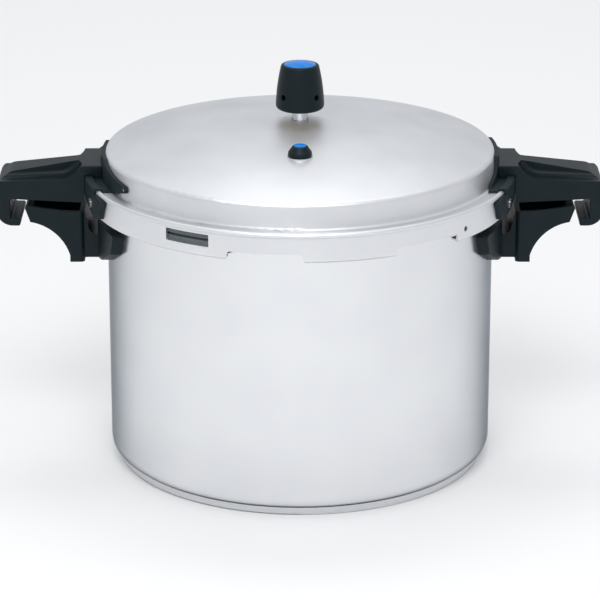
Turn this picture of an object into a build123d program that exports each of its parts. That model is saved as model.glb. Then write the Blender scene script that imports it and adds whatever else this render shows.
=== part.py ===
from build123d import *
import os
from math import asin, degrees, radians, sin, sqrt

# Side-handled pressure canner with an outside bayonet lid.
# Millimetres. Origin: bottom centre of the pot. +Z up, -Y front, X along the two handles.
# An angle in degrees is measured about +Z from +X, and an (r, z) outline is spun about +Z.
# "Reach" is a distance outwards from the surface that the comment names.

# Pot
POT_R = 134.0  # outside of the straight wall
POT_WALL = 3.0
POT_CORNER_R = 9.0  # outside radius where the wall turns into the floor
BASE_PLATE_STEP = 6.0  # from the wall in to the base plate's edge
BASE_PLATE_T = 5.5
BASE_PLATE_EDGE_R = 1.2
BASE_RING = 14.0  # width of the ring that the canner stands on
BASE_RELIEF = 0.5  # depth of the relief inside that ring
RIM_Z = 191.0  # top of the pot's flange
RIM_T = 3.0
RIM_REACH = 4.6  # flange between its lugs, from the wall
RIM_ROOT_R = 1.5  # fillet under the flange
RIM_EDGE_R = 1.2  # rounding of the mouth

# Bayonet
LUG_COUNT = 8
FIRST_LUG = 13.3  # angle of one lug's middle
POT_LUG_REACH = 9.8  # from the wall
POT_LUG_ARC = 18.0
POT_LUG_CORNER_R = 2.5
HOOK_REACH = 0.6  # inner edge of the lid's hooks, from the flange between its lugs
HOOK_GAP = 0.3  # play between a hook and the pot lug above it
LUG_GAP = 0.6  # play between the pot's lugs and the skirt round them
NOTCH_ARC = 20.0  # gap between two hooks
NOTCH_RISE = 0.9  # top of that gap, above the rim
NOTCH_ROUND = 2.4
NOTCH_LEAD = 0.15  # the rounding of a hook's end runs out this far below it

# Lid
SHEET = 2.0  # lid metal
SKIRT_BEND_R = 2.6
FLANGE_RISE = 13.8  # top of the flat channel round the dome, above the rim
BEAD_REACH = 1.5  # rolled bead, from the skirt
BEAD_SECTION_R = 1.8
LID_WALL_REACH = 1.8  # foot of the lid's side wall, from the pot's wall
CREASE_REACH = 0.5  # top of that side wall, from the pot's wall
CREASE_RISE = 17.4  # height of that side wall
CREASE_ROUND = 3.0
DOME_RISE = 20.0  # height of the dome on it
WINDOW_MIDDLE = -120.7
WINDOW_SIZE = (33.0, 8.4)
WINDOW_RISE = 6.2  # middle of the window, above the rim
WINDOW_ROUND = 0.6
DRAIN_ANGLE = -41.0
DRAIN_RISE = 2.6  # above the rim
DRAIN_R = 1.75

# Gasket
GASKET_GAP = 0.2
GASKET_REACH = 1.0  # inner edge, from the inside of the pot's wall
GASKET_LIP_T = 3.2
GASKET_BAND_T = 3.3
GASKET_GROOVE = (1.8, 2.2)  # height and depth of the groove round its outside

# Pot handles and the steel brackets behind them
PAD_T = 7.0
PAD_HALF = 61.0
PAD_DROP = 14.5  # top of the pad, below the rim
PAD_TIP_R = 2.0
PAD_FLANK = (5.0, 14.5, 5.0)  # corner of the pad's edge: in from its tip, down from its top, and its radius
PAD_BELLY = (25.0, 25.0, 10.0)  # next corner, the same way
PAD_ANGLE = 70.0
ARM_HALF = 17.5
ARM_H = 16.9
ARM_BASE_DROP = 43.5  # underside of the arm, below the rim
ARM_ROOT = 5.0  # how far the arm's outline starts inside the wall
RAMP_H = 16.8  # rise from the arm's top to the web's top
RAMP_FOOT = 4.2  # from the ramp's foot out to the web
RAMP_HEAD = 0.6
RAMP_R = 5.0
WEB_REACH = 15.5  # inner face of the web, from the pot's wall
WEB_L = 40.5
WEB_HALF = 20.0
WEB_WALL = 3.0
WEB_EDGE_R = 3.0
WEB_FOOT_L = 10.0
WEB_FOOT_H = 4.7
FOOT_DROP = 2.7  # below the arm
WEB_TIP_UNDER = (3.5, 11.8)  # lower corner of the web's tip: in from its end, down from its top
WEB_TIP_BEVEL = (1.5, 2.0)
WEB_TIP_RISE = 4.4  # of the tip above the web's inner top edge
WEB_TOP_SAG = (20.0, 1.1)  # a point on the dished top: out from the inner edge, up from it
WEB_UNDER_BEND = (7.6, 13.7)  # a point on the curved underside: out from the foot, up from its top
BRACKET_T = 2.0
BRACKET_HALF = 19.0
BRACKET_INSET = 3.0  # from the arm's underside up to the bracket
BRACKET_H = 22.5
BRACKET_ANGLE = 40.0
TONGUE_HALF = 10.0
TONGUE_REACH = 15.0  # end of the tongue, from the pot's wall
TONGUE_RISE = 9.5  # middle of the tongue, above the arm's underside
TONGUE_T = 2.5
POCKET_GAP = 0.2
POT_RIVET_Y = 11.7
POT_RIVET_INSET = 4.5  # from the bracket's top
POT_RIVET_R = 2.4
POT_RIVET_HEAD = (4.6, 1.8)  # radius and height
HANDLE_SCREW_REACH = 9.0  # from the pot's wall
SCREW_R = 2.5
SCREW_HEAD = (1.9, 2.8)  # reach from the screw's shank, and height
SCREW_L = 13.0
WASHER = (2.5, 1.0)  # reach from the shank, and thickness
COUNTERBORE_GAP = 0.4  # round the washer

# Saddle brackets on the lid
SADDLE_T = 1.4
SADDLE_WALL = 1.8  # of the legs outside the bead
SADDLE_TOP_HALF = 52.0
SADDLE_LEG_HALF = 67.0
SADDLE_LEG_DROP = 3.7  # lowest point of the legs, below the rim
SADDLE_ARCH_RISE = 2.0  # top of the arch between the legs, above the rim
SADDLE_STEP = (2.2, 1.4)  # foot of the step over the bead: in from the bead's middle, and its run
SADDLE_STEP_T = 0.6  # how far the step's outside stands off its inside
SADDLE_ANGLE = 70.0
LEG_CORNERS = ((6.0, 1.5, 2.0), (14.0, 0.0, 3.0))  # in from the leg's side, up from its lowest point, radius
SADDLE_ARCH_HALF = 31.0
SADDLE_ARCH_R = 5.0
SKIRT_PLAY = 0.1
WING_OVER_SHEET = 0.4  # how much thicker a wing is than the lid's sheet
WING_TOP_DROP = 1.0  # below the crease
WING_TIP = 72.5
WING_ANGLE = 80.0
WING_FOOT = 48.0  # half width of a wing at the channel
WING_CORNERS = (  # from its short end to its long tip: place along Y, height above the channel, radius
    (-42.0, 4.0, 2.0),
    (-24.0, 8.0, 4.0),
    (-20.0, 16.4, 0.0),
    (27.0, 16.4, 0.0),
    (33.0, 14.4, 3.0),
    (52.0, 11.5, 12.0),
    (69.5, 9.6, 2.4),
    (WING_TIP, 6.2, 2.2),
    (63.5, 3.2, 4.0),
)
WING_RIVET_Y = 67.6
WING_RIVET_RISE = 7.2  # above the channel
WING_RIVET_R = 1.3
WING_RIVET_SINK = 0.4  # of the pin's outer end below the wing's surface
LID_RIVET_Y = 45.0
LID_RIVET_RISE = 4.5  # above the rim
LID_RIVET_R = 2.0
LID_RIVET_HEAD = (3.3, 1.1)
GRIP_TONGUE_HALF = 9.0
GRIP_TONGUE_REACH = 13.2  # from the saddle
GRIP_TONGUE_RISE = 4.0  # above the rim

# Lid grips; a reach is from the saddle's outside
GRIP_HALF = 22.0
GRIP_START = 4.0  # from the pot's wall inwards
GRIP_RISE = 10.2  # top of the block, above the channel
GRIP_REACH = 59.7
GRIP_END_R = 11.0
GRIP_BROW_R = 7.0
GRIP_BROW_DROP = 3.0  # of the end's upper corner below the ledge
BLOCK_REACH = -1.3
SPINE_REACH = 3.2
SPINE_FALL = (1.2, 0.2)  # start of the falling spine: out from the saddle, down from the block's top
SPINE_HALF_IN = 6.0
SPINE_HALF_OUT = 13.5
SPINE_END_RISE = 3.2  # above the channel
SPINE_END_R = 10.0
LEDGE_DROP = 0.2  # below the channel
LEDGE_FALL = 1.0  # over the ledge's length
SCOOP_OVERRUN = 5.0
SCOOP_R = 18.0
SCOOP_ROOT_R = 4.0
UNDERSIDE_DROP = 3.8  # inner end of the grip's lower edge, below the rim
UNDERSIDE_END_DROP = 0.2
HOOK_WALL_REACH = 50.0
LIP_LOW_DROP = 19.4  # below the rim
LIP_TOP_DROP = 14.4
LIP_REACH = 42.8
LIP_LEAN = 0.8
LIP_R = 1.4
GRIP_CORNER_R = 1.5
GRIP_EDGE_R = 1.0
GRIP_WALL = 3.0
GRIP_ROOF_DROP = 3.4  # of the hollow's roof below the channel
GRIP_ROOF_FALL = 2.0
GRIP_SEAT_GAP = 0.3  # round the saddle
GRIP_BOSS_R = 4.5
GRIP_SCREW_REACH = 8.2
GRIP_SCREW_R = 2.0
GRIP_SCREW_HEAD = (1.6, 2.2)  # reach from the shank, and height
GRIP_SCREW_BITE = 4.75  # depth in the boss

# Vent pipe
PIPE_R = 4.0
PIPE_COLLAR_REACH = 1.9  # from the pipe
PIPE_COLLAR_H = 6.4
PIPE_H = 19.8  # above the dome
PIPE_DEPTH = 16.2  # below the dome's top
PIPE_BORE_R = 1.6
PIPE_NOTCHES = 12
PIPE_NOTCH = (1.7, 1.6)  # width and height
LID_HOLE_PLAY = 0.1
VENT_SEAL_REACH = 4.0
VENT_SEAL_T = 1.0
VENT_NUT_REACH = 2.6
VENT_NUT_T = 4.5
GUARD_REACH = 3.4
GUARD_T = 1.2
GUARD_H = 14.0
GUARD_GRIP = 5.0  # how far the pipe reaches into the guard
GUARD_HOLES = 6
GUARD_HOLE_R = 1.6

# Regulator
CAP_RISE = 1.2  # its underside above the pipe's collar
CAP_H = 31.4
CAP_LOW_R = 16.8
CAP_TOP_R = 12.9
CAP_BULGE = 0.9
CAP_LOW_ROUND = 3.2
CAP_TOP_ROUND = 1.6
CAP_WALL = 2.0
CAP_ROOF = 3.4
CAP_HOLES = 4
CAP_HOLE_R = 2.1
CAP_HOLE_RISE = 10.5  # above the cap's underside
DISC_R = 10.8
DISC_SEAT = 1.6
DISC_EDGE = 0.1  # of its edge above the shell
DISC_RISE = 1.8
WEIGHT_RISE = 2.8  # above the cap's underside
WEIGHT_FLANGE_H = 4.8
WEIGHT_R = 12.6
WEIGHT_WAIST_R = 9.4
WEIGHT_WAIST_H = 6.2
SLIDE_PLAY = 0.08
NEEDLE_NOSE_R = 1.3
NEEDLE_NOSE = 2.4
NEEDLE_COLLAR_R = 3.4
NEEDLE_COLLAR_T = 3.0
NEEDLE_STEM_R = 2.0
NEEDLE_STEM = 6.0
NEEDLE_PLAY = 0.05
SEAT_GAP = 0.1

# Safety valve
VALVE_Y = -71.0
SEAT_SINK = 0.1  # of the flat seat below the dome
SEAT_T = 4.0
SEAT_REACH = 0.5  # from the valve's disc
VALVE_R = 8.0
VALVE_DISC_T = 3.0
VALVE_H = 7.0
VALVE_TOP_R = 5.2
VALVE_EDGE_R = 0.9
VALVE_SHANK_R = 5.0
VALVE_DEPTH = 12.6  # of the shank below the seat
VALVE_CUP_R = 4.5
VALVE_CUP_DEPTH = 2.5
VALVE_SEAL_REACH = 3.4  # from the shank
VALVE_SEAL_T = 1.4
VALVE_NUT_REACH = 3.2
VALVE_NUT_T = 4.0
PIN_R = 2.0
PIN_PLAY = 0.05
PIN_TAIL = 9.5  # below the shank
PIN_HEAD_REACH = 1.4
PIN_HEAD_T = 1.0
BUTTON_R = 4.2
BUTTON_H = 2.1
BUTTON_RISE = 0.6
CLIP_REACH = 2.2
CLIP_T = 0.8
CLIP_INSET = 1.1  # above the pin's lower end
SPRING_GAP = 0.7  # between the pin and the coil
SPRING_WIRE_R = 0.4
SPRING_TURNS = 4.5

# Values that follow from the ones above
pot_in_r = POT_R - POT_WALL
floor_z = BASE_PLATE_T + POT_WALL
base_plate_r = POT_R - BASE_PLATE_STEP
rim_low = RIM_Z - RIM_T
rim_r = POT_R + RIM_REACH
pot_lug_r = POT_R + POT_LUG_REACH
hook_r = rim_r + HOOK_REACH
hook_top = rim_low - HOOK_GAP
hook_low = hook_top - SHEET
skirt_in_r = pot_lug_r + LUG_GAP
skirt_r = skirt_in_r + SHEET
flange_z = RIM_Z + FLANGE_RISE
flange_low = flange_z - SHEET
bead_out_r = skirt_r + BEAD_REACH
bead_r = bead_out_r - BEAD_SECTION_R
bead_z = flange_low + BEAD_SECTION_R
bead_top = bead_z + BEAD_SECTION_R
wall_foot_r = POT_R + LID_WALL_REACH
crease_r = POT_R + CREASE_REACH
crease_z = flange_z + CREASE_RISE
dome_top = crease_z + DOME_RISE
dome_r = (crease_r**2 + DOME_RISE**2) / (2 * DOME_RISE)
lug_pitch = 360 / LUG_COUNT
window_z = RIM_Z + WINDOW_RISE

arm_low = RIM_Z - ARM_BASE_DROP
arm_top = arm_low + ARM_H
pad_top = RIM_Z - PAD_DROP
web_in = POT_R + WEB_REACH
web_out = web_in + WEB_L
web_top = arm_top + RAMP_H
foot_low = arm_low - FOOT_DROP
bracket_r = POT_R + BRACKET_T
bracket_low = arm_low + BRACKET_INSET
bracket_top = bracket_low + BRACKET_H
tongue_end = POT_R + TONGUE_REACH
tongue_z = arm_low + TONGUE_RISE
pot_rivet_z = bracket_top - POT_RIVET_INSET
pot_rivet_angle = degrees(asin(POT_RIVET_Y / POT_R))
handle_screw_x = POT_R + HANDLE_SCREW_REACH
handle_screw_tip = arm_low + SCREW_L

saddle_in_r = bead_out_r + SKIRT_PLAY
saddle_r = bead_out_r + SKIRT_PLAY + SADDLE_WALL
saddle_top = bead_top + SKIRT_PLAY + SADDLE_T
saddle_leg_low = RIM_Z - SADDLE_LEG_DROP
corner_clear_r = wall_foot_r + SHEET + SKIRT_PLAY
step_in = bead_r - SADDLE_STEP[0]
wing_t = SHEET + WING_OVER_SHEET
wing_rivet_z = flange_z + WING_RIVET_RISE
lid_rivet_z = RIM_Z + LID_RIVET_RISE
lid_rivet_angle = degrees(asin(LID_RIVET_Y / saddle_r))
grip_tongue_z = RIM_Z + GRIP_TONGUE_RISE

grip_top = flange_z + GRIP_RISE
grip_out = saddle_r + GRIP_REACH
ledge_z = flange_z - LEDGE_DROP
hook_wall_x = saddle_r + HOOK_WALL_REACH
grip_roof_z = flange_z - GRIP_ROOF_DROP
lip_top = RIM_Z - LIP_TOP_DROP
grip_screw_x = saddle_r + GRIP_SCREW_REACH
grip_boss_low = grip_tongue_z + TONGUE_T / 2
grip_screw_tip = grip_boss_low + GRIP_SCREW_BITE

pipe_collar_r = PIPE_R + PIPE_COLLAR_REACH
pipe_collar_top = dome_top + PIPE_COLLAR_H
pipe_top = dome_top + PIPE_H
pipe_low = dome_top - PIPE_DEPTH
guard_top = pipe_low + GUARD_GRIP
guard_low = guard_top - GUARD_H

cap_low = pipe_collar_top + CAP_RISE
cap_top = cap_low + CAP_H
cap_seat_z = cap_top - DISC_SEAT
cap_roof_z = cap_seat_z - CAP_ROOF
cap_hole_z = cap_low + CAP_HOLE_RISE
weight_low = cap_low + WEIGHT_RISE


def outline(*corners):
    """Closed outline through (x, y) corners; a third value rounds that corner."""
    points = [corner[:2] for corner in corners]
    radii = [corner[2] if len(corner) > 2 else 0 for corner in corners]
    return make_face(FilletPolyline(*points, radius=radii, close=True))


def box_outline(x_low, x_high, z_low, z_high):
    """Plain rectangular outline."""
    return outline((x_low, z_low), (x_high, z_low), (x_high, z_high), (x_low, z_high))


def mirrored(*corners):
    """Outline from its right half's corners, listed from top to bottom, and their mirror images."""
    left = [(-corner[0], *corner[1:]) for corner in reversed(corners)]
    return outline(*corners, *left)


def spun(face, arc=360.0, middle=0.0):
    """An (r, z) outline turned about +Z through arc degrees, centred on an angle."""
    return Rot(Z=middle - arc / 2) * revolve(Plane.XZ * face, Axis.Z, arc)


def disc(radius, low, high, x=0.0, y=0.0):
    """Upright cylinder between two heights."""
    upright = (Align.CENTER, Align.CENTER, Align.MIN)
    return Pos(x, y, low) * Cylinder(radius, high - low, align=upright)


def side_prism(face, half):
    """An (x, z) outline made 2 * half thick, centred on y = 0."""
    return extrude(Plane.XZ * face, half, both=True)


def end_prism(face, near, far):
    """A (y, z) outline carried along +X from near to far."""
    return Pos(near, 0, 0) * extrude(Plane.YZ * face, far - near)


def spoke(radius, near, far, angle, z):
    """Cylinder that points outwards from the centre line, between two distances from it."""
    bar = Pos(near, 0, 0) * Rot(Y=90) * disc(radius, 0, far - near)
    return Rot(Z=angle) * Pos(0, 0, z) * bar


def hexagon(radius, low, high, x=0.0, y=0.0):
    """Upright hexagonal prism, measured to its corners."""
    return Pos(x, y, low) * extrude(RegularPolygon(radius, 6), high - low)


def crown(r, edge_z, top_z):
    """Arc of a ball centred on the axis, from (r, edge_z) to its top at (0, top_z)."""
    rise = top_z - edge_z
    ball_r = (r**2 + rise**2) / (2 * rise)
    start = degrees(asin((ball_r - rise) / ball_r))
    return CenterArc((0, top_z - ball_r), ball_r, start, 90 - start)


def dome_z(r, inset=0.0):
    """Height of the dome's surface, or of the one inset below it, at a distance from the middle."""
    return dome_top - dome_r + sqrt((dome_r - inset) ** 2 - r**2)


# Heights of the safety valve, from the dome at its place
seat_z = dome_z(VALVE_Y) - SEAT_SINK
seat_low = seat_z - SEAT_T
valve_top = seat_z + VALVE_H
valve_low = seat_z - VALVE_DEPTH
valve_cup_z = valve_top - VALVE_CUP_DEPTH
pin_low = valve_low - PIN_TAIL
clip_z = pin_low + CLIP_INSET


def lid_wall_r(z):
    """Outer radius of the lid's side wall at a height."""
    share = (z - flange_z) / (crease_z - flange_z)
    return wall_foot_r + (crease_r - wall_foot_r) * share


def lug_angles():
    return [FIRST_LUG + lug_pitch * i for i in range(LUG_COUNT)]


def both_sides(solid):
    """The piece on the right and the same piece turned half round to the left, as one group."""
    return Compound([solid.solid(), (Rot(Z=180) * solid).solid()])


def on_both_sides(angle):
    """An angle on each side of each handle's middle line."""
    return [side + step for side in (0, 180) for step in (-angle, angle)]


# ---- pot ----


def axis_distance(edge):
    """How far an edge's middle is from the pot's centre line."""
    middle = edge.center()
    return sqrt(middle.X**2 + middle.Y**2)


def pot_lug(angle):
    section = box_outline(rim_r - POT_LUG_CORNER_R, pot_lug_r, rim_low, RIM_Z)
    lug = spun(section, POT_LUG_ARC, angle)
    outer = lug.edges().filter_by(Axis.Z).sort_by(axis_distance)[-2:]
    return fillet(outer, POT_LUG_CORNER_R)


def pot_body():
    """Deep-drawn pot: floor, wall and a turned-out flange with bayonet lugs."""
    body = spun(outline(
        (0, BASE_PLATE_T),
        (POT_R, BASE_PLATE_T, POT_CORNER_R),
        (POT_R, rim_low, RIM_ROOT_R),
        (rim_r, rim_low),
        (rim_r, RIM_Z),
        (pot_in_r, RIM_Z, RIM_EDGE_R),
        (pot_in_r, floor_z, POT_CORNER_R - POT_WALL),
        (0, floor_z),
    ))
    for angle in lug_angles():
        body += pot_lug(angle)
    for angle in on_both_sides(pot_rivet_angle):
        body -= spoke(POT_RIVET_R, pot_in_r - POT_WALL, POT_R + POT_WALL, angle, pot_rivet_z)
    return body


def base_plate():
    """Thick disc that spreads the heat, with a shallow relief inside the ring that it stands on."""
    relief_r = base_plate_r - BASE_RING
    return spun(outline(
        (0, BASE_RELIEF),
        (relief_r, BASE_RELIEF),
        (relief_r + BASE_RELIEF, 0),
        (base_plate_r, 0, BASE_PLATE_EDGE_R),
        (base_plate_r, BASE_PLATE_T),
        (0, BASE_PLATE_T),
    ))


def bracket_block(gap):
    """Box that bounds a bracket's plate, with a gap all round."""
    middle = Pos(POT_R, 0, (bracket_low + bracket_top) / 2)
    return middle * Box(POT_R / 2, 2 * (BRACKET_HALF + gap), BRACKET_H + 2 * gap)


def bracket_tongue(gap, play):
    """A bracket's tongue, with a gap at its end and sides and play above and below."""
    length = tongue_end + gap - POT_R
    middle = Pos(POT_R + length / 2, 0, tongue_z)
    return middle * Box(length, 2 * (TONGUE_HALF + gap), TONGUE_T + 2 * play)


def pot_bracket():
    """Steel angle: a plate that follows the wall and a tongue that carries the handle."""
    plate = spun(box_outline(POT_R, bracket_r, bracket_low, bracket_top), BRACKET_ANGLE)
    bracket = (plate & bracket_block(0)) + (bracket_tongue(0, 0) - disc(POT_R, bracket_low, bracket_top))
    bracket -= disc(SCREW_R + PIN_PLAY, bracket_low, bracket_top, handle_screw_x)
    for angle in (-pot_rivet_angle, pot_rivet_angle):
        bracket -= spoke(POT_RIVET_R, pot_in_r, bracket_r + POT_WALL, angle, pot_rivet_z)
    return bracket


def pot_rivet(angle):
    """Solid rivet through the wall and bracket, with its heads shaped to both surfaces."""
    head_r, head_t = POT_RIVET_HEAD
    inner = spoke(head_r, pot_in_r - head_t, pot_in_r, angle, pot_rivet_z)
    inner &= disc(pot_in_r, arm_low, RIM_Z)
    outer = spoke(head_r, POT_R, bracket_r + head_t, angle, pot_rivet_z)
    outer -= disc(bracket_r, arm_low, RIM_Z)
    shank = spoke(POT_RIVET_R, pot_in_r - head_t, bracket_r + head_t, angle, pot_rivet_z)
    return inner + shank + outer


def pot_rivets():
    return Compound([pot_rivet(angle).solid() for angle in on_both_sides(pot_rivet_angle)])


def web_outline():
    """Side view of the hanging part of a pot handle, with its hollow underside and dished top."""
    foot_out = web_in + WEB_FOOT_L
    foot_top = foot_low + WEB_FOOT_H
    tip_top = web_top + WEB_TIP_RISE
    tip_low = (web_out - WEB_TIP_UNDER[0], tip_top - WEB_TIP_UNDER[1])
    bevel_low = (web_out, tip_top - WEB_TIP_BEVEL[1])
    bevel_top = (web_out - WEB_TIP_BEVEL[0], tip_top)
    bend = (foot_out + WEB_UNDER_BEND[0], foot_top + WEB_UNDER_BEND[1])
    sag = (web_in + WEB_TOP_SAG[0], web_top + WEB_TOP_SAG[1])
    return make_face([
        Line((web_in, foot_low), (foot_out, foot_low)),
        Line((foot_out, foot_low), (foot_out, foot_top)),
        ThreePointArc((foot_out, foot_top), bend, tip_low),
        Line(tip_low, bevel_low),
        Line(bevel_low, bevel_top),
        ThreePointArc(bevel_top, sag, (web_in, web_top)),
        Line((web_in, web_top), (web_in, foot_low)),
    ])


def web():
    """Hollow hanging part of a pot handle, open at the top under the lid's grip."""
    shape = web_outline()
    outer = side_prism(shape, WEB_HALF)
    corners = outer.edges().filter_by(Axis.Z).sort_by(Axis.X)[:2]
    outer = fillet(corners, WEB_EDGE_R)
    hollow = offset(shape, -WEB_WALL, kind=Kind.INTERSECTION)
    hollow += Pos(0, WEB_WALL) * hollow + Pos(0, 2 * WEB_WALL) * hollow
    hollow -= box_outline(web_in, web_out, foot_low, arm_low + WEB_WALL)
    return outer - side_prism(hollow, WEB_HALF - WEB_WALL)


def pot_handle():
    """Moulded handle: a pad against the wall, an arm over the bracket's tongue, and the web."""
    pad = spun(box_outline(POT_R, POT_R + PAD_T, foot_low, pad_top), PAD_ANGLE)
    corners = [(PAD_HALF - inset, pad_top - drop, radius) for inset, drop, radius in (PAD_FLANK, PAD_BELLY)]
    trim = mirrored((PAD_HALF, pad_top, PAD_TIP_R), *corners, (ARM_HALF, arm_low))
    pad &= end_prism(trim, POT_R / 2, web_out)
    arm = side_prism(outline(
        (POT_R - ARM_ROOT, arm_low),
        (web_in + WEB_WALL / 2, arm_low),
        (web_in + WEB_WALL / 2, web_top),
        (web_in - RAMP_HEAD, web_top),
        (web_in - RAMP_FOOT, arm_top, RAMP_R),
        (POT_R - ARM_ROOT, arm_top),
    ), ARM_HALF)
    handle = pad + (arm - disc(POT_R, 0, RIM_Z)) + web()
    return handle - handle_pocket()


def handle_pocket():
    """Room in a pot handle for its bracket, the rivet heads, the screw and the washer."""
    head_r, head_t = POT_RIVET_HEAD
    washer_reach, washer_t = WASHER
    pocket = disc(bracket_r + POCKET_GAP, 0, RIM_Z) & bracket_block(POCKET_GAP)
    pocket += bracket_tongue(POCKET_GAP, PIN_PLAY)
    for angle in (-pot_rivet_angle, pot_rivet_angle):
        pocket += spoke(head_r + POCKET_GAP, POT_R, bracket_r + head_t + POCKET_GAP, angle, pot_rivet_z)
    pocket += disc(SCREW_R + POCKET_GAP, arm_low, handle_screw_tip + POCKET_GAP, handle_screw_x)
    counterbore_r = SCREW_R + washer_reach + COUNTERBORE_GAP
    pocket += disc(counterbore_r, arm_low, arm_low + SCREW_HEAD[1] + washer_t, handle_screw_x)
    return pocket


def socket_screw(radius, head, low, tip, x):
    """Upright screw whose head is below, with a hexagonal socket in it."""
    head_reach, head_t = head
    screw = disc(radius + head_reach, low, low + head_t, x) + disc(radius, low, tip, x)
    return screw - hexagon(radius, low, low + head_t / 2, x)


def handle_screw():
    return socket_screw(SCREW_R, SCREW_HEAD, arm_low, handle_screw_tip, handle_screw_x)


def handle_washer():
    reach, thickness = WASHER
    low = arm_low + SCREW_HEAD[1]
    ring = disc(SCREW_R + reach, low, low + thickness, handle_screw_x)
    return ring - disc(SCREW_R + PIN_PLAY, low, low + thickness, handle_screw_x)


# ---- lid ----


def dome_outline():
    inner_r = crease_r - SHEET
    inner_z = dome_z(inner_r, SHEET)
    inner_top = dome_top - SHEET
    edges = [
        crown(crease_r, crease_z, dome_top),
        Line((crease_r, crease_z), (wall_foot_r, flange_z)),
        Line((wall_foot_r, flange_z), (bead_r, flange_z)),
        Line((bead_r, flange_z), (bead_r, flange_low)),
        Line((bead_r, flange_low), (wall_foot_r - SHEET, flange_low)),
        Line((wall_foot_r - SHEET, flange_low), (inner_r, inner_z)),
        crown(inner_r, inner_z, inner_top),
        Line((0, inner_top), (0, dome_top)),
    ]
    return make_face(edges)


def rounded_at(face, x, y, radius):
    """The outline with its corner nearest to (x, y) rounded."""
    corner = face.vertices().sort_by_distance((x, y, 0))[0]
    return fillet(corner, radius)


def lid_outline():
    """Section of the lid: dome, wall, channel, rolled bead, skirt and inturned hook."""
    face = dome_outline()
    face = rounded_at(face, crease_r, crease_z, CREASE_ROUND)
    face = rounded_at(face, wall_foot_r, flange_z, SHEET)
    face += Pos(bead_r, bead_z) * Circle(BEAD_SECTION_R)
    face += outline(
        (skirt_r, bead_z),
        (skirt_in_r, bead_z),
        (skirt_in_r, hook_top, SKIRT_BEND_R - SHEET),
        (hook_r, hook_top),
        (hook_r, hook_low),
        (skirt_r, hook_low, SKIRT_BEND_R),
    )
    return face


def notch_cutter(angle):
    """What is taken out of the skirt between two hooks, with all four corners rounded."""
    half = skirt_r * sin(radians(NOTCH_ARC / 2))
    far = half + 3 * NOTCH_ROUND
    low = hook_low - NOTCH_LEAD
    shape = mirrored(
        (half, RIM_Z + NOTCH_RISE, NOTCH_ROUND),
        (half, low, NOTCH_ROUND),
        (far, low),
        (far, low - SHEET),
    )
    return Rot(Z=angle) * end_prism(shape, POT_R, bead_out_r + SHEET)


def lid_shell():
    """Pressed lid with its hooks, gasket window and holes."""
    shell = spun(lid_outline())
    for angle in lug_angles():
        shell -= notch_cutter(angle + lug_pitch / 2)
    width, height = WINDOW_SIZE
    window = Pos(0, window_z) * RectangleRounded(width, height, WINDOW_ROUND)
    shell -= Rot(Z=WINDOW_MIDDLE) * end_prism(window, POT_R, bead_out_r)
    shell -= spoke(DRAIN_R, POT_R, bead_out_r, DRAIN_ANGLE, RIM_Z + DRAIN_RISE)
    seat_r = VALVE_R + SEAT_REACH
    shell += disc(seat_r, seat_low, seat_z, 0, VALVE_Y)
    shell -= disc(seat_r, seat_z, dome_top, 0, VALVE_Y)
    shell -= disc(VALVE_SHANK_R + LID_HOLE_PLAY, seat_low, seat_z, 0, VALVE_Y)
    shell -= disc(PIPE_R + LID_HOLE_PLAY, guard_low, dome_top)
    for angle in on_both_sides(lid_rivet_angle):
        shell -= spoke(LID_RIVET_R, POT_R, bead_out_r, angle, lid_rivet_z)
    return shell - both_sides(wing_hole())


def gasket():
    """Silicone ring of C section: a flat lip on the pot's rim and one under the lid's channel."""
    low = RIM_Z + GASKET_GAP
    lip_r = pot_in_r + GASKET_REACH
    out = skirt_in_r - SKIRT_PLAY
    band_in = out - GASKET_BAND_T
    groove_h, groove_d = GASKET_GROOVE
    section = outline(
        (lip_r, low),
        (out, low),
        (out, flange_low),
        (wall_foot_r, flange_low),
        (wall_foot_r, flange_low - GASKET_LIP_T),
        (band_in, flange_low - GASKET_LIP_T),
        (band_in, low + GASKET_LIP_T),
        (lip_r, low + GASKET_LIP_T),
    )
    section -= box_outline(out - groove_d, out, window_z - groove_h / 2, window_z + groove_h / 2)
    return spun(section)


def saddle_section():
    """Section of a saddle: lies in the channel, goes over the bead and down outside the skirt."""
    step_out = step_in + SADDLE_STEP[1]
    leg_r = skirt_r + SKIRT_PLAY
    leg_end = saddle_leg_low - SADDLE_T
    return outline(
        (corner_clear_r, flange_z + SKIRT_PLAY),
        (step_in, flange_z + SKIRT_PLAY),
        (step_out, bead_top + SKIRT_PLAY),
        (saddle_in_r, bead_top + SKIRT_PLAY),
        (saddle_in_r, flange_low),
        (leg_r, flange_low - BEAD_REACH),
        (leg_r, leg_end),
        (saddle_r, leg_end),
        (saddle_r, saddle_top, SADDLE_T),
        (step_out - SADDLE_STEP_T, saddle_top),
        (step_in - SADDLE_STEP_T, flange_z + SADDLE_T),
        (corner_clear_r, flange_z + SADDLE_T),
    )


def wing_hole():
    """Bore through a wing and the lid's wall for the pin that holds them together."""
    angle = degrees(asin(WING_RIVET_Y / lid_wall_r(wing_rivet_z)))
    return spoke(WING_RIVET_R, POT_R - 2 * SHEET, bead_out_r, angle, wing_rivet_z)


def wing():
    """Plate up the lid's side wall, drawn out to one side into a rounded tip."""
    top = crease_z - WING_TOP_DROP
    heel = flange_z + SHEET + SKIRT_PLAY
    section = outline(
        (lid_wall_r(heel) + SKIRT_PLAY, heel),
        (corner_clear_r, flange_z + SKIRT_PLAY),
        (lid_wall_r(flange_z) + wing_t, flange_z + SKIRT_PLAY),
        (lid_wall_r(top) + wing_t, top),
        (lid_wall_r(top) + SKIRT_PLAY, top),
    )
    corners = [(y, flange_z + rise, radius) for y, rise, radius in WING_CORNERS]
    shape = outline((-WING_FOOT, flange_z), *corners, (WING_FOOT, flange_z))
    return spun(section, WING_ANGLE) & end_prism(shape, POT_R / 2, bead_out_r)


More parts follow.
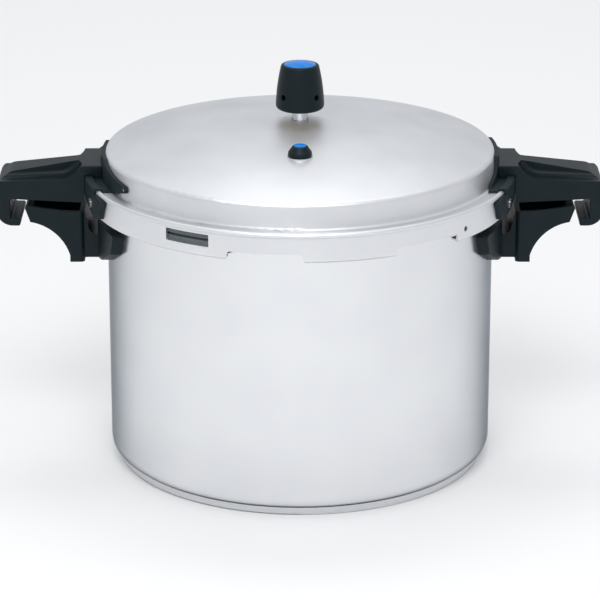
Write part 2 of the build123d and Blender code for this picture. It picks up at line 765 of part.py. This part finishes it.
def lid_saddle():
    """Bracket that carries a grip: saddle over the lid's edge, legs, wing and a tongue."""
    corners = [(SADDLE_LEG_HALF - across, saddle_leg_low + up, radius) for across, up, radius in LEG_CORNERS]
    trim = mirrored(
        (SADDLE_TOP_HALF, grip_top),
        (SADDLE_TOP_HALF, flange_low + SADDLE_T),
        (SADDLE_LEG_HALF, flange_low, SADDLE_T),
        *corners,
        (SADDLE_ARCH_HALF, RIM_Z + SADDLE_ARCH_RISE, SADDLE_ARCH_R),
    )
    saddle = spun(saddle_section(), SADDLE_ANGLE) & end_prism(trim, POT_R / 2, grip_out)
    length = saddle_r + GRIP_TONGUE_REACH - skirt_r
    tongue = Pos(skirt_r + length / 2, 0, grip_tongue_z) * Box(length, 2 * GRIP_TONGUE_HALF, TONGUE_T)
    tongue -= disc(skirt_r + SKIRT_PLAY, 0, grip_top)
    saddle += wing() + tongue
    hole_low, hole_top = grip_tongue_z - TONGUE_T, grip_tongue_z + TONGUE_T
    saddle -= disc(GRIP_SCREW_R + PIN_PLAY, hole_low, hole_top, grip_screw_x)
    for angle in (-lid_rivet_angle, lid_rivet_angle):
        saddle -= spoke(LID_RIVET_R, POT_R, saddle_r + SADDLE_WALL, angle, lid_rivet_z)
    return saddle - wing_hole()


def lid_rivet(angle):
    """Round-headed rivet through a saddle's leg and the skirt, flush on the gasket's side."""
    head_r, head_t = LID_RIVET_HEAD
    shank = spoke(LID_RIVET_R, POT_R, saddle_r + head_t, angle, lid_rivet_z)
    head = spoke(head_r, skirt_r, saddle_r + head_t, angle, lid_rivet_z)
    shank -= disc(skirt_in_r, 0, grip_top)
    return shank + (head - disc(saddle_r, 0, grip_top))


def lid_rivets():
    return Compound([lid_rivet(angle).solid() for angle in on_both_sides(lid_rivet_angle)])


def wing_rivets():
    """Small pins that hold each wing's tip to the lid's wall."""
    wall_r = lid_wall_r(wing_rivet_z)
    reach = disc(wall_r + wing_t - WING_RIVET_SINK, flange_z, crease_z)
    reach -= disc(wall_r - 2 * SHEET, flange_z, crease_z)
    return both_sides(wing_hole() & reach)


def grip_outline():
    """Side view of a grip: block, falling spine, end wall and the inturned lip below."""
    fall_out, fall_drop = SPINE_FALL
    return outline(
        (POT_R - GRIP_START, RIM_Z - UNDERSIDE_DROP),
        (POT_R - GRIP_START, grip_top),
        (saddle_r + fall_out, grip_top - fall_drop),
        (hook_wall_x, flange_z + SPINE_END_RISE, SPINE_END_R),
        (grip_out, ledge_z - GRIP_BROW_DROP, GRIP_BROW_R),
        (grip_out, RIM_Z - LIP_LOW_DROP, GRIP_END_R),
        (saddle_r + LIP_REACH + LIP_LEAN, RIM_Z - LIP_LOW_DROP, LIP_R),
        (saddle_r + LIP_REACH, lip_top, LIP_R),
        (hook_wall_x, lip_top, GRIP_CORNER_R),
        (hook_wall_x, RIM_Z - UNDERSIDE_END_DROP, GRIP_CORNER_R),
    )


def scoop():
    """Finger scoop along one side of a grip's spine, on the +Y side, open at the grip's outer end."""
    block_x = saddle_r + BLOCK_REACH
    spine_x = saddle_r + SPINE_REACH
    far_x = grip_out + SCOOP_OVERRUN
    over = grip_top + SCOOP_R
    wide = GRIP_HALF + SCOOP_OVERRUN
    side = outline((block_x, over), (block_x, ledge_z, SCOOP_R), (far_x, ledge_z - LEDGE_FALL), (far_x, over))
    plan = outline(
        (spine_x, SPINE_HALF_IN),
        (far_x, SPINE_HALF_OUT),
        (far_x, wide),
        (block_x, wide),
        (block_x, GRIP_HALF - GRIP_EDGE_R),
    )
    cutter = side_prism(side, wide) & extrude(plan, over)
    root = ((spine_x + far_x) / 2, (SPINE_HALF_IN + SPINE_HALF_OUT) / 2, ledge_z - LEDGE_FALL / 2)
    edge = cutter.edges().filter_by(GeomType.LINE).sort_by_distance(root)[0]
    return fillet(edge, SCOOP_ROOT_R)


def saddle_room():
    """Everything inside a saddle's outer surface, which a grip has to stay out of."""
    gap = GRIP_SEAT_GAP
    foot = step_in - SADDLE_STEP_T - gap
    return spun(outline(
        (0, 0),
        (saddle_r + gap, 0),
        (saddle_r + gap, saddle_top + gap),
        (foot + SADDLE_STEP[1], saddle_top + gap),
        (foot, flange_z + SADDLE_T + gap),
        (lid_wall_r(flange_z) + wing_t + gap, flange_z + SADDLE_T + gap),
        (lid_wall_r(grip_top) + wing_t + gap, grip_top + SADDLE_T),
        (0, grip_top + SADDLE_T),
    ))


def grip_hollow():
    """The room inside a grip, above the level of its lip."""
    start = saddle_r + GRIP_WALL
    end = hook_wall_x - GRIP_WALL
    return side_prism(outline(
        (start, lip_top),
        (start, grip_roof_z, GRIP_ROOF_FALL),
        (end, grip_roof_z - GRIP_ROOF_FALL, GRIP_ROOF_FALL),
        (end, lip_top),
    ), GRIP_HALF - GRIP_WALL)


def lid_grip():
    """Moulded grip: hollow below, scooped along both sides, hooked at its outer end."""
    body = side_prism(grip_outline(), GRIP_HALF)
    sides = body.edges().group_by(Axis.Y)
    body = fillet(sides[0] + sides[-1], GRIP_EDGE_R)
    cut = scoop()
    body = body - cut - mirror(cut, Plane.XZ) - grip_hollow()
    body += disc(GRIP_BOSS_R, grip_boss_low, grip_roof_z + GRIP_WALL / 2, grip_screw_x)
    body -= disc(GRIP_SCREW_R, grip_boss_low, grip_screw_tip + POCKET_GAP, grip_screw_x)
    body -= saddle_room()
    slot = Box(GRIP_WALL * 3, 2 * (GRIP_TONGUE_HALF + POCKET_GAP), TONGUE_T + 2 * POCKET_GAP)
    return body - Pos(saddle_r + GRIP_WALL, 0, grip_tongue_z) * slot


def grip_screw():
    low = grip_tongue_z - TONGUE_T / 2 - GRIP_SCREW_HEAD[1]
    return socket_screw(GRIP_SCREW_R, GRIP_SCREW_HEAD, low, grip_screw_tip, grip_screw_x)


# ---- vent pipe and regulator ----


def vent_pipe():
    """Turned pipe: threaded shank through the lid, toothed collar, slim top with a narrow bore."""
    pipe = spun(outline(
        (0, pipe_low),
        (PIPE_R, pipe_low, 0.5),
        (PIPE_R, dome_top),
        (pipe_collar_r, dome_top),
        (pipe_collar_r, pipe_collar_top, 0.8),
        (PIPE_R, pipe_collar_top),
        (PIPE_R, pipe_top, 0.6),
        (0, pipe_top),
    ))
    width, height = PIPE_NOTCH
    tooth_gap = Pos(pipe_collar_r, 0, dome_top + height / 2) * Box(pipe_collar_r - PIPE_R, width, height)
    for i in range(PIPE_NOTCHES):
        pipe -= Rot(Z=360 / PIPE_NOTCHES * i) * tooth_gap
    return pipe - disc(PIPE_BORE_R, pipe_low, pipe_top)


def vent_seal():
    radius = PIPE_R + VENT_SEAL_REACH
    top = dome_z(radius, SHEET)
    return disc(radius, top - VENT_SEAL_T, top) - disc(PIPE_R, top - VENT_SEAL_T, top)


def vent_nut():
    top = dome_z(PIPE_R + VENT_SEAL_REACH, SHEET) - VENT_SEAL_T
    nut = hexagon(PIPE_R + VENT_NUT_REACH, top - VENT_NUT_T, top)
    return nut - disc(PIPE_R, top - VENT_NUT_T, top)


def vent_guard():
    """Pierced cap over the pipe's inlet that keeps food out."""
    radius = PIPE_R + GUARD_REACH
    guard = disc(radius, guard_low, guard_top)
    guard -= disc(radius - GUARD_T, guard_low + GUARD_T, guard_top - GUARD_T)
    guard -= disc(PIPE_R, guard_top - GUARD_T, guard_top)
    middle = (guard_low + pipe_low) / 2
    for i in range(GUARD_HOLES):
        guard -= spoke(GUARD_HOLE_R, 0, radius + GUARD_T, 360 / GUARD_HOLES * i, middle)
    return guard


def regulator_needle():
    """Loose needle that closes the pipe; its stem is the pivot that the weight turns on."""
    low = pipe_top + SEAT_GAP
    collar_top = low + NEEDLE_COLLAR_T
    return spun(outline(
        (0, low - NEEDLE_NOSE),
        (NEEDLE_NOSE_R, low - NEEDLE_NOSE, 0.6),
        (NEEDLE_NOSE_R, low),
        (NEEDLE_COLLAR_R, low),
        (NEEDLE_COLLAR_R, collar_top),
        (NEEDLE_STEM_R, collar_top),
        (NEEDLE_STEM_R, collar_top + NEEDLE_STEM, 0.4),
        (0, collar_top + NEEDLE_STEM),
    ))


def cap_hole(near):
    """One of the steam holes, from a distance outwards."""
    return spoke(CAP_HOLE_R, near, CAP_LOW_R + CAP_WALL, 0, cap_hole_z)


def cap_hole_angles():
    return [360 / CAP_HOLES * (i + 0.5) for i in range(CAP_HOLES)]


def regulator_weight():
    """Turned weight with a waist at the steam holes, bored for the pipe and for the needle's stem."""
    collar_top = pipe_top + SEAT_GAP + NEEDLE_COLLAR_T + SEAT_GAP
    waist_low = weight_low + WEIGHT_FLANGE_H
    waist_high = waist_low + WEIGHT_WAIST_H
    shoulder = waist_high + CAP_WALL
    weight = spun(outline(
        (0, weight_low),
        (WEIGHT_R, weight_low, 0.8),
        (WEIGHT_R, waist_low, 0.5),
        (WEIGHT_WAIST_R, waist_low + 1.5, 1.0),
        (WEIGHT_WAIST_R, waist_high, 1.0),
        (cap_in_r(shoulder), shoulder),
        (cap_in_r(cap_roof_z), cap_roof_z, 1.0),
        (0, cap_roof_z),
    ))
    weight -= disc(PIPE_R + SLIDE_PLAY, weight_low, collar_top)
    weight -= disc(NEEDLE_STEM_R + NEEDLE_PLAY, collar_top, collar_top + NEEDLE_STEM + SEAT_GAP)
    for angle in cap_hole_angles():
        weight -= Rot(Z=angle) * cap_hole(0)
    return weight


def cap_out_r(z):
    share = (z - cap_low) / (cap_top - cap_low)
    bulge = 4 * CAP_BULGE * share * (1 - share)
    return CAP_LOW_R + (CAP_TOP_R - CAP_LOW_R) * share + bulge


def cap_in_r(z):
    return cap_out_r(z) - CAP_WALL - PIN_PLAY


def cap_outline(inset, top):
    """Half section of the cap's bulging body up to a height, inset from its outside."""
    mid = (cap_low + cap_top) / 2
    foot = (CAP_LOW_R - inset, cap_low)
    head = (cap_out_r(top) - inset, top)
    return make_face([
        Line((0, cap_low), foot),
        ThreePointArc(foot, (cap_out_r(mid) - inset, mid), head),
        Line(head, (0, top)),
        Line((0, top), (0, cap_low)),
    ])


def regulator_shell():
    """Moulded shell over the weight, with steam holes low in its side and a seat for the disc."""
    outer = rounded_at(cap_outline(0, cap_top), CAP_LOW_R, cap_low, CAP_LOW_ROUND)
    outer = rounded_at(outer, CAP_TOP_R, cap_top, CAP_TOP_ROUND)
    seat = box_outline(0, DISC_R + PIN_PLAY, cap_seat_z, cap_top)
    shell = spun(outer - cap_outline(CAP_WALL, cap_roof_z) - seat)
    for angle in cap_hole_angles():
        shell -= Rot(Z=angle) * cap_hole(WEIGHT_WAIST_R)
    return shell


def regulator_disc():
    """Coloured disc let into the shell's top, slightly domed."""
    edge = cap_top + DISC_EDGE
    return spun(make_face([
        Line((0, cap_seat_z), (DISC_R, cap_seat_z)),
        Line((DISC_R, cap_seat_z), (DISC_R, edge)),
        crown(DISC_R, edge, edge + DISC_RISE),
        Line((0, edge + DISC_RISE), (0, cap_seat_z)),
    ]))


# ---- safety valve ----


def at_valve(shape):
    return Pos(0, VALVE_Y, 0) * shape


def safety_valve_body():
    """Black plug: a disc and cone above the seat, a shank below, bored for the pin."""
    body = spun(outline(
        (0, valve_low),
        (VALVE_SHANK_R, valve_low),
        (VALVE_SHANK_R, seat_z),
        (VALVE_R, seat_z, VALVE_EDGE_R),
        (VALVE_R, seat_z + VALVE_DISC_T, VALVE_EDGE_R),
        (VALVE_TOP_R, valve_top, 0.3),
        (VALVE_CUP_R, valve_top),
        (VALVE_CUP_R, valve_cup_z),
        (0, valve_cup_z),
    ))
    return at_valve(body - disc(PIN_R + PIN_PLAY, valve_low, valve_top))


def safety_valve_seal():
    low = seat_low - VALVE_SEAL_T
    ring = disc(VALVE_SHANK_R + VALVE_SEAL_REACH, low, seat_low)
    return at_valve(ring - disc(VALVE_SHANK_R, low, seat_low))


def safety_valve_nut():
    top = seat_low - VALVE_SEAL_T
    nut = hexagon(VALVE_SHANK_R + VALVE_NUT_REACH, top - VALVE_NUT_T, top)
    return at_valve(nut - disc(VALVE_SHANK_R, top - VALVE_NUT_T, top))


def safety_pin():
    """Pin that pressure lifts, with a head that rests in the body's cup."""
    head_low = valve_cup_z + SEAT_GAP
    head_top = head_low + PIN_HEAD_T
    return at_valve(disc(PIN_R, pin_low, head_top) + disc(PIN_R + PIN_HEAD_REACH, head_low, head_top))


def safety_button():
    """Coloured button on the pin's head."""
    low = valve_cup_z + SEAT_GAP + PIN_HEAD_T
    edge = low + BUTTON_H
    return at_valve(spun(make_face([
        Line((0, low), (BUTTON_R, low)),
        Line((BUTTON_R, low), (BUTTON_R, edge)),
        crown(BUTTON_R, edge, edge + BUTTON_RISE),
        Line((0, edge + BUTTON_RISE), (0, low)),
    ])))


def safety_clip():
    """Open ring that holds the spring on the pin's lower end."""
    radius = PIN_R + CLIP_REACH
    ring = disc(radius, clip_z, clip_z + CLIP_T) - disc(PIN_R, clip_z, clip_z + CLIP_T)
    ring -= Pos(radius, 0, clip_z + CLIP_T / 2) * Box(2 * radius, PIN_R, CLIP_T)
    return at_valve(ring)


def safety_spring():
    """Coil between the clip and the body's lower end, which pulls the pin back down."""
    low = clip_z + CLIP_T + SPRING_WIRE_R
    height = valve_low - SPRING_WIRE_R - low
    path = Helix(height / SPRING_TURNS, height, PIN_R + SPRING_GAP + SPRING_WIRE_R)
    start = Plane(path @ 0, z_dir=path % 0)
    coil = sweep(start * Circle(SPRING_WIRE_R), path, is_frenet=True)
    return at_valve(Pos(0, 0, low) * coil)


# ---- output ----


def save(name, shape):
    export_step(shape, f"parts/{name}.step")


def save_pair(name, shape):
    """A piece made for the right-hand side, and its half-turned twin on the left."""
    save(f"{name}_right", shape)
    save(f"{name}_left", Rot(Z=180) * shape)


def main():
    os.makedirs("parts", exist_ok=True)
    save("pot_body", pot_body())
    save("base_plate", base_plate())
    save_pair("pot_handle", pot_handle())
    save_pair("pot_bracket", pot_bracket())
    save("pot_rivets", pot_rivets())
    save("pot_handle_screws", both_sides(handle_screw()))
    save("pot_handle_washers", both_sides(handle_washer()))
    save("lid_shell", lid_shell())
    save("gasket", gasket())
    save_pair("lid_saddle", lid_saddle())
    save_pair("lid_grip", lid_grip())
    save("lid_rivets", lid_rivets())
    save("wing_rivets", wing_rivets())
    save("grip_screws", both_sides(grip_screw()))
    save("vent_pipe", vent_pipe())
    save("vent_seal", vent_seal())
    save("vent_nut", vent_nut())
    save("vent_guard", vent_guard())
    save("regulator_needle", regulator_needle())
    save("regulator_weight", regulator_weight())
    save("regulator_shell", regulator_shell())
    save("regulator_disc", regulator_disc())
    save("safety_valve_body", safety_valve_body())
    save("safety_valve_seal", safety_valve_seal())
    save("safety_valve_nut", safety_valve_nut())
    save("safety_pin", safety_pin())
    save("safety_button", safety_button())
    save("safety_clip", safety_clip())
    save("safety_spring", safety_spring())


main()
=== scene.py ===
import math

import bpy
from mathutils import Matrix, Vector

# Looks of a side-handled pressure canner. Metres, in the row frame: +Z up, -Y front, X along the handles.

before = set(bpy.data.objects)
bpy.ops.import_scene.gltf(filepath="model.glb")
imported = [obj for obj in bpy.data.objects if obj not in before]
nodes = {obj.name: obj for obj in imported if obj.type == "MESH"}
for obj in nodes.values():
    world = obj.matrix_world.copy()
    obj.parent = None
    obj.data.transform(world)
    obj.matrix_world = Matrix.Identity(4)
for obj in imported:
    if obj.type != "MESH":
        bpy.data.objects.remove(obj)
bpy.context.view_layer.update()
MM = 0.001


# ---- camera, light and floor ----

VIEW_RISE = math.radians(19.3)  # how far the camera looks down
VIEW_DISTANCE = 2.2
VIEW_HEIGHT = 0.1097  # height of the point that the camera looks at
LENS = 187.4
SENSOR_WIDTH = 36
FAR_CLIP = 50

# The world's brightness by height, from eye level (0) to straight overhead (1)
EYE_LEVEL = (0.66, 0.67, 0.69, 1)
HIGH_UP, HIGH_UP_AT = (0.79, 0.80, 0.82, 1), 0.78
OVERHEAD = (0.60, 0.61, 0.63, 1)

FLOOR_SIZE = 14
FLOOR_MIDDLE = (0, 2, 0)
FLOOR_COLOUR = (0.9, 0.9, 0.9, 1)


def aim(obj, place, target):
    """Puts obj at place and turns its -Z towards target."""
    obj.location = place
    obj.rotation_euler = (Vector(target) - Vector(place)).to_track_quat("-Z", "Y").to_euler()


def make_camera():
    camera = bpy.data.objects.new("camera", bpy.data.cameras.new("camera"))
    bpy.context.scene.collection.objects.link(camera)
    target = Vector((0, 0, VIEW_HEIGHT))
    aim(camera, target + VIEW_DISTANCE * Vector((0, -math.cos(VIEW_RISE), math.sin(VIEW_RISE))), target)
    camera.data.lens = LENS
    camera.data.sensor_width = SENSOR_WIDTH
    camera.data.clip_end = FAR_CLIP
    bpy.context.scene.camera = camera


def make_softbox(name, place, target, size, power, beam=180):
    """Rectangular soft light; beam is the spread of its light in degrees."""
    light = bpy.data.lights.new(name, "AREA")
    light.shape = "RECTANGLE"
    light.size, light.size_y = size
    light.energy = power
    light.spread = math.radians(beam)
    obj = bpy.data.objects.new(name, light)
    bpy.context.scene.collection.objects.link(obj)
    aim(obj, place, target)


def make_world():
    """Plain bright studio, brightest high up and darker at eye level and straight overhead."""
    world = bpy.data.worlds.new("studio")
    bpy.context.scene.world = world
    world.use_nodes = True
    tree = world.node_tree
    coords = tree.nodes.new("ShaderNodeTexCoord")
    split = tree.nodes.new("ShaderNodeSeparateXYZ")
    ramp = tree.nodes.new("ShaderNodeValToRGB")
    tree.links.new(coords.outputs["Generated"], split.inputs[0])
    tree.links.new(split.outputs["Z"], ramp.inputs[0])
    stops = ramp.color_ramp.elements
    stops[0].position, stops[0].color = 0.0, EYE_LEVEL
    stops[1].position, stops[1].color = 1.0, OVERHEAD
    stops.new(HIGH_UP_AT).color = HIGH_UP
    back = tree.nodes["Background"]
    tree.links.new(ramp.outputs[0], back.inputs["Color"])
    back.inputs["Strength"].default_value = 1.0


def make_floor():
    bpy.ops.mesh.primitive_plane_add(size=FLOOR_SIZE, location=FLOOR_MIDDLE)
    floor = bpy.context.object
    floor.name = "floor"
    material = bpy.data.materials.new("floor")
    material.use_nodes = True
    surface = material.node_tree.nodes["Principled BSDF"]
    surface.inputs["Base Color"].default_value = FLOOR_COLOUR
    surface.inputs["Roughness"].default_value = 0.9
    surface.inputs["Specular IOR Level"].default_value = 0.1
    floor.data.materials.append(material)


def make_studio():
    make_camera()
    make_world()
    make_floor()
    make_softbox("front", (-0.1, -1.5, 1.7), (0, -0.4, 0), (1.2, 0.9), 6.0, 100)
    make_softbox("top", (0, 1.0, 2.6), (0, 1.3, 0), (1.8, 1.0), 14)
    bpy.context.scene.view_settings.view_transform = "Standard"


# ---- material nodes ----

class Shader:
    """One material: its Principled surface, and short ways to add the nodes that feed it."""

    def __init__(self, name, **sockets):
        self.material = bpy.data.materials.new(name)
        self.material.use_nodes = True
        self.tree = self.material.node_tree
        self.surface = self.tree.nodes["Principled BSDF"]
        for key, value in sockets.items():
            self.surface.inputs[key.replace("_", " ")].default_value = value

    def link(self, output, socket):
        self.tree.links.new(output, socket)

    def add(self, kind, inputs=None, **settings):
        """A node with its settings, and its inputs by name: an output is linked, a number is set."""
        made = self.tree.nodes.new(kind)
        for key, value in settings.items():
            setattr(made, key, value)
        for key, value in (inputs or {}).items():
            if isinstance(value, bpy.types.NodeSocket):
                self.link(value, made.inputs[key])
            else:
                made.inputs[key].default_value = value
        return made

    def place(self):
        """Position on the part, which moves with it."""
        return self.add("ShaderNodeTexCoord").outputs["Object"]

    def axis_distance(self):
        """Distance from the pot's upright centre line."""
        flat = self.add("ShaderNodeVectorMath", {0: self.place(), 1: (1, 1, 0)}, operation="MULTIPLY")
        return self.add("ShaderNodeVectorMath", {0: flat.outputs[0]}, operation="LENGTH").outputs["Value"]

    def noise(self, size, detail=2.0, rough=0.5, stretch=(1, 1, 1)):
        """Cloudy pattern whose blobs are about size metres, drawn out by the stretch of each axis."""
        spread = tuple(1 / value for value in stretch)
        moved = self.add("ShaderNodeMapping", {"Vector": self.place(), "Scale": spread})
        inputs = {"Vector": moved.outputs[0], "Scale": 1 / size, "Detail": detail, "Roughness": rough}
        return self.add("ShaderNodeTexNoise", inputs).outputs["Fac"]

    def turned(self, pitch, length=0.25):
        """Lines about pitch apart that run round the centre line, as a lathe or a polishing wheel leaves."""
        squeezed = (pitch / length, pitch / length, 1)
        moved = self.add("ShaderNodeMapping", {"Vector": self.place(), "Scale": squeezed})
        inputs = {"Vector": moved.outputs[0], "W": self.axis_distance(), "Scale": 1 / pitch, "Detail": 2.0}
        return self.add("ShaderNodeTexNoise", inputs, noise_dimensions="4D").outputs["Fac"]

    def spread(self, value, low, high, start=0.3, end=0.7):
        """value, which runs from start to end, carried to between low and high."""
        inputs = {"Value": value, "From Min": start, "From Max": end, "To Min": low, "To Max": high}
        return self.add("ShaderNodeMapRange", inputs).outputs["Result"]

    def total(self, first, second, kind="ADD"):
        return self.add("ShaderNodeMath", {0: first, 1: second}, operation=kind).outputs[0]

    def tint(self, value, dark, light):
        """Base colour between two tones, by value from 0 to 1."""
        ramp = self.add("ShaderNodeValToRGB", {"Fac": value})
        stops = ramp.color_ramp.elements
        stops[0].position, stops[0].color = 0.3, (*dark, 1)
        stops[1].position, stops[1].color = 0.7, (*light, 1)
        self.link(ramp.outputs[0], self.surface.inputs["Base Color"])

    def feel(self, value):
        self.link(value, self.surface.inputs["Roughness"])

    def relief(self, value, depth, strength=1.0):
        inputs = {"Height": value, "Distance": depth, "Strength": strength}
        bump = self.add("ShaderNodeBump", inputs)
        self.link(bump.outputs[0], self.surface.inputs["Normal"])


# ---- materials ----

def polished_aluminium(name, edge_tint, rough):
    """Spun and buffed sheet: fine lines round the pot, faint clouding, a few wipe marks. A dark edge_tint is
    painted shade: it darkens the gloss toward the outline.
    """
    shader = Shader(name, Metallic=1.0, Specular_Tint=(*edge_tint, 1))
    lines = shader.turned(0.9 * MM)
    clouds = shader.noise(35 * MM, detail=4)
    shader.tint(clouds, (0.745, 0.755, 0.775), (0.785, 0.795, 0.81))
    shader.feel(shader.total(shader.spread(lines, rough, rough + 0.03), shader.spread(clouds, 0.0, 0.04)))
    shader.relief(lines, 0.0004 * MM)
    return shader.material


def turned_base():
    """Machined base: clear rings."""
    shader = Shader("turned_base", Metallic=1.0)
    lines = shader.turned(0.6 * MM, 0.5)
    shader.tint(lines, (0.60, 0.61, 0.63), (0.74, 0.75, 0.77))
    shader.feel(shader.spread(lines, 0.24, 0.38))
    shader.relief(lines, 0.02 * MM)
    return shader.material


def satin_rivet():
    shader = Shader("satin_rivet", Metallic=1.0)
    grain = shader.noise(0.8 * MM, detail=3)
    shader.tint(grain, (0.78, 0.79, 0.80), (0.88, 0.885, 0.89))
    shader.feel(shader.spread(grain, 0.18, 0.3))
    shader.relief(grain, 0.01 * MM)
    return shader.material


def bright_steel():
    shader = Shader("bright_steel", Metallic=1.0)
    lines = shader.noise(0.5 * MM, detail=2, stretch=(8, 8, 1))
    shader.tint(lines, (0.62, 0.63, 0.64), (0.74, 0.75, 0.76))
    shader.feel(shader.spread(lines, 0.1, 0.2))
    shader.relief(lines, 0.006 * MM)
    return shader.material


def moulded_black(name, dark, light, rough, grain_size, depth):
    """Dark slate moulding: even satin skin with a fine grain and slight flow marks."""
    shader = Shader(name, IOR=1.5, Specular_IOR_Level=0.2)
    grain = shader.noise(grain_size, detail=3, rough=0.6)
    flow = shader.noise(14 * MM, detail=3)
    shader.tint(shader.total(shader.total(grain, 0.35, "MULTIPLY"), shader.total(flow, 0.65, "MULTIPLY")),
                dark, light)
    shader.feel(shader.total(shader.spread(grain, rough - 0.05, rough + 0.05), shader.spread(flow, 0.0, 0.05)))
    shader.relief(grain, depth)
    return shader.material


def black_fastener():
    shader = Shader("black_fastener", Metallic=0.6)
    grain = shader.noise(0.6 * MM, detail=3)
    shader.tint(grain, (0.03, 0.032, 0.035), (0.055, 0.058, 0.062))
    shader.feel(shader.spread(grain, 0.3, 0.42))
    shader.relief(grain, 0.01 * MM)
    return shader.material


def blue_plastic():
    shader = Shader("blue_plastic", IOR=1.5, Specular_IOR_Level=0.22)
    flow = shader.noise(4 * MM, detail=3)
    shader.tint(flow, (0.0, 0.17, 0.60), (0.002, 0.23, 0.72))
    shader.feel(shader.spread(flow, 0.2, 0.28))
    shader.relief(shader.noise(0.7 * MM), 0.008 * MM)
    return shader.material


def silicone():
    shader = Shader("silicone", IOR=1.41, Subsurface_Weight=0.2, Subsurface_Scale=0.002)
    flow = shader.noise(9 * MM, detail=3)
    shader.tint(flow, (0.085, 0.105, 0.11), (0.12, 0.14, 0.145))
    shader.feel(shader.spread(flow, 0.42, 0.52))
    shader.relief(shader.noise(0.6 * MM, detail=3), 0.02 * MM)
    return shader.material


def turned_brass():
    shader = Shader("turned_brass", Metallic=1.0)
    lines = shader.turned(0.35 * MM, 0.05)
    shader.tint(lines, (0.62, 0.44, 0.17), (0.75, 0.56, 0.26))
    shader.feel(shader.spread(lines, 0.2, 0.32))
    shader.relief(lines, 0.01 * MM)
    return shader.material


SLATE = (0.002, 0.008, 0.011), (0.005, 0.013, 0.017)
GRAIN = (0.004, 0.011, 0.014), (0.010, 0.020, 0.024)

FINISHES = {
    # painted shade: the pot's dark edge tint darkens its gloss toward the outline, standing in for dark
    # reflections down its sides
    "pot_aluminium": (polished_aluminium("pot_aluminium", (0.26, 0.29, 0.31), 0.20), ["pot_body"]),
    "lid_aluminium": (polished_aluminium("lid_aluminium", (0.74, 0.75, 0.77), 0.42), ["lid_shell"]),
    "turned_base": (turned_base(), ["base_plate"]),
    "satin_rivet": (satin_rivet(), ["pot_rivets", "lid_rivets", "wing_rivets"]),
    "bright_steel": (bright_steel(), [
        "pot_bracket_left", "pot_bracket_right", "pot_handle_washers", "vent_pipe", "vent_nut", "vent_guard",
        "regulator_needle", "safety_valve_nut", "safety_pin", "safety_clip", "safety_spring"]),
    "black_phenolic": (moulded_black("black_phenolic", *SLATE, 0.42, 0.5 * MM, 0.006 * MM), [
        "pot_handle_left", "pot_handle_right", "lid_grip_left", "lid_grip_right", "regulator_shell",
        "safety_valve_body"]),
    "textured_black": (moulded_black("textured_black", *GRAIN, 0.55, 0.9 * MM, 0.05 * MM), [
        "lid_saddle_left", "lid_saddle_right"]),
    "black_fastener": (black_fastener(), ["pot_handle_screws", "grip_screws"]),
    "blue_plastic": (blue_plastic(), ["regulator_disc", "safety_button"]),
    "silicone": (silicone(), ["gasket", "vent_seal", "safety_valve_seal"]),
    "turned_brass": (turned_brass(), ["regulator_weight"]),
}


def paint_nodes():
    """Every CAD node gets its finish."""
    for material, names in FINISHES.values():
        for name in names:
            for slot in nodes[name].material_slots:
                slot.material = material


make_studio()
paint_nodes()
